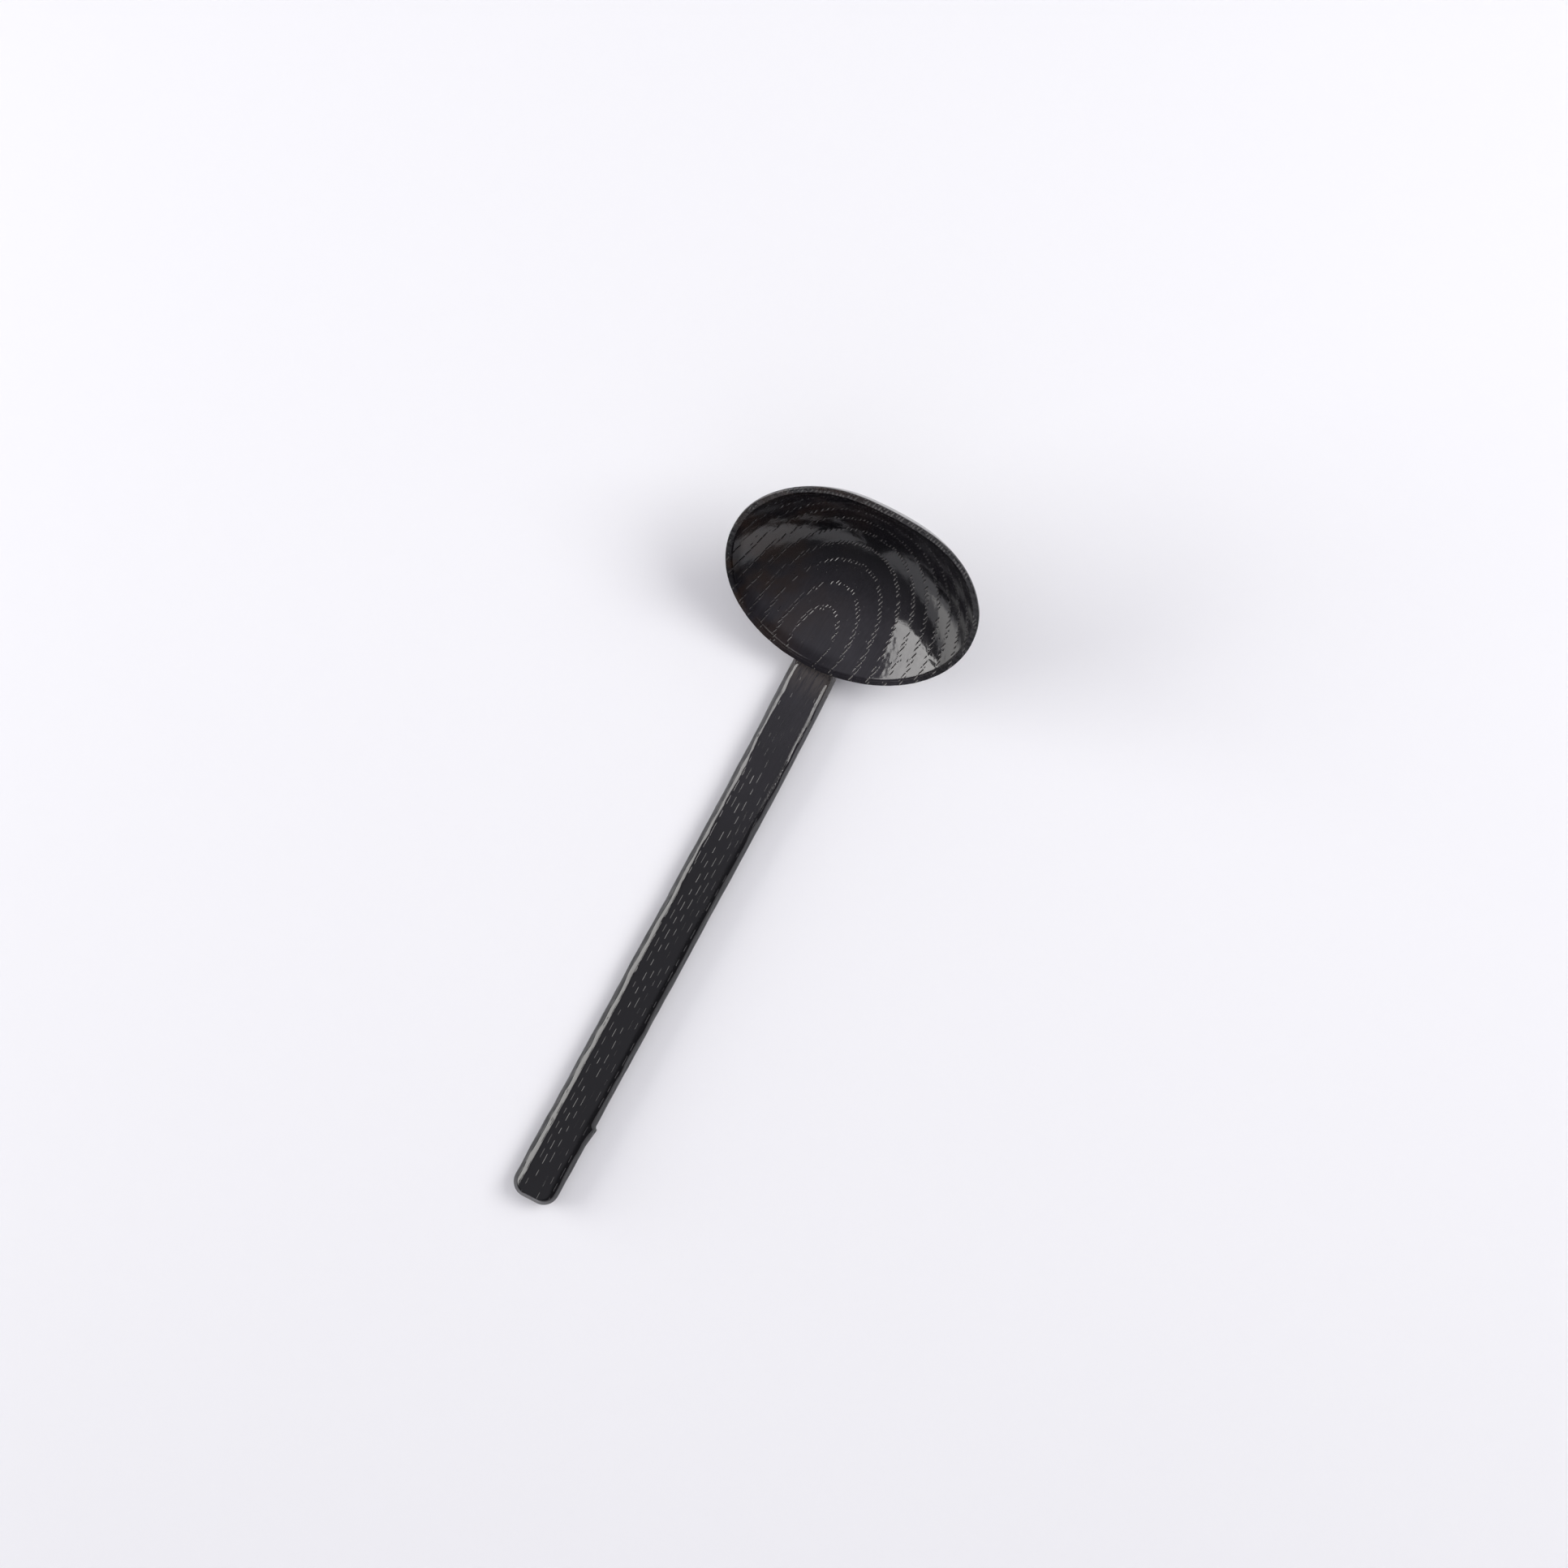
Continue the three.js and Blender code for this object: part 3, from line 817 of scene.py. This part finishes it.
def softbox(name, azimuth, elevation, distance, width, height, radiance):
    """A light that faces the bowl. Its radiance is against a white floor's 1."""
    data = bpy.data.lights.new(name, "AREA")
    data.shape = "RECTANGLE"
    data.size, data.size_y = width, height
    data.energy = radiance * math.pi * width * height
    lamp = bpy.data.objects.new(name, data)
    lamp.location = SUBJECT + direction(azimuth, elevation) * distance
    turn = math.radians(azimuth) + math.pi / 2
    lamp.rotation_euler = (math.pi / 2 - math.radians(elevation), 0, turn)
    lamp.visible_glossy = False
    lamp.visible_camera = False
    bpy.context.scene.collection.objects.link(lamp)


def mirrored(name, points, radiance, folded=0.1):
    """A flat panel that only the lacquer's reflections show: a softbox's face, a painted reflection of
    brighter floor or a black panel of painted shade.

    Its brightness varies by the share `folded` either way, as if the cloth were creased.
    """
    g = Graph(name)
    emission = g.node("ShaderNodeEmission")
    emission.inputs["Color"].default_value = (1.0, 0.985, 0.975, 1)
    folds = g.noise(g.position(), 0.0045, 2.0, 0.6)
    g.feed(emission.inputs["Strength"], g.smooth(folds, 0.3, 0.68, 1.0 - folded, 1.0 + folded) * radiance)
    g.tree.links.new(emission.outputs[0], g.output.inputs[0])
    mesh = bpy.data.meshes.new(name)
    mesh.from_pydata([tuple(map(float, p)) for p in points], [], [tuple(range(len(points)))])
    mesh.materials.append(g.material)
    panel = bpy.data.objects.new(name, mesh)
    panel.visible_camera = False
    panel.visible_diffuse = False
    panel.visible_shadow = False
    bpy.context.scene.collection.objects.link(panel)


def seen_at(corners, distance=1.3):
    """Points in given directions from the bowl."""
    return [SUBJECT + direction(*corner) * distance for corner in corners]


def lying_at(height, corners):
    """Points on a level, given in millimetres."""
    return [(x * MM, y * MM, height * MM) for x, y in corners]


softbox("left_softbox", 200, 22, 1.3, 0.95, 0.92, 4.0)
softbox("right_softbox", 40.6, 51, 1.3, 0.75, 0.75, 5.0)
softbox("ceiling_light", 90, 82, 1.6, 2.2, 2.2, 0.22)
left_face = [(-154, 1), (-122, 25), (-165, 42), (-207, 40), (-207, -1), (-162, -4)]
mirrored("left_panel", seen_at(left_face), 7.0)
mirrored("right_panel", seen_at([(-2.6, 34), (75, 34), (75, 70), (-2.6, 49)]), 7.4, folded=0.65)
right_of_handle = [(10.7, 74), (10.7, -20), (14, -20), (17, 12), (26.5, 20), (28, 29), (21, 50), (11.5, 66)]
left_of_handle = [(-5, 74), (-5, 31), (-8.8, 37), (-12, 48.5), (-10.5, 61), (-7.5, 74)]
# Black panels that only reflections show: painted shade in the lacquer's reflections on either side of the
# handle, where the floor would show.
mirrored("painted_shade_right", lying_at(SHADE_PANEL_LEVEL, right_of_handle), 0.0)
mirrored("painted_shade_left", lying_at(SHADE_PANEL_LEVEL, left_of_handle), 0.0)
# A glowing patch a millimetre over the floor that only reflections show: painted reflection of a brighter
# floor to the left of the bowl.
painted_floor_glare = [(-24, 66), (-36, 20), (-50, -15), (-140, -60), (-480, -100), (-480, 200), (-140, 120)]
mirrored("painted_floor_glare", lying_at(1, painted_floor_glare), 2.5)

world = bpy.data.worlds.new("studio")
world.use_nodes = True
tree = world.node_tree
ray = tree.nodes.new("ShaderNodeTexCoord")
parts = tree.nodes.new("ShaderNodeSeparateXYZ")
tree.links.new(ray.outputs["Generated"], parts.inputs[0])
ramp = tree.nodes.new("ShaderNodeValToRGB")
tree.links.new(parts.outputs["Z"], ramp.inputs["Fac"])
ramp.color_ramp.elements[0].color = (0.12, 0.12, 0.13, 1)
ramp.color_ramp.elements[1].color = (0.56, 0.55, 0.61, 1)
middle = ramp.color_ramp.elements.new(0.5)
middle.color = (0.22, 0.215, 0.24, 1)
tree.links.new(ramp.outputs["Color"], tree.nodes["Background"].inputs["Color"])
bpy.context.scene.world = world

# ---- The camera: straight above, turned so that the handle runs down to the left ----
VIEW_TURN = math.radians(28.62)
camera_data = bpy.data.cameras.new("camera")
camera_data.sensor_width = 24
camera_data.sensor_height = 24
camera_data.lens = 50
camera_data.clip_end = 20
camera = bpy.data.objects.new("camera", camera_data)
camera.location = (CAMERA_X, CAMERA_Y, CAMERA_Z)
camera.rotation_euler = (0, 0, VIEW_TURN)
bpy.context.scene.collection.objects.link(camera)
bpy.context.scene.camera = camera
bpy.context.scene.view_settings.view_transform = "Standard"
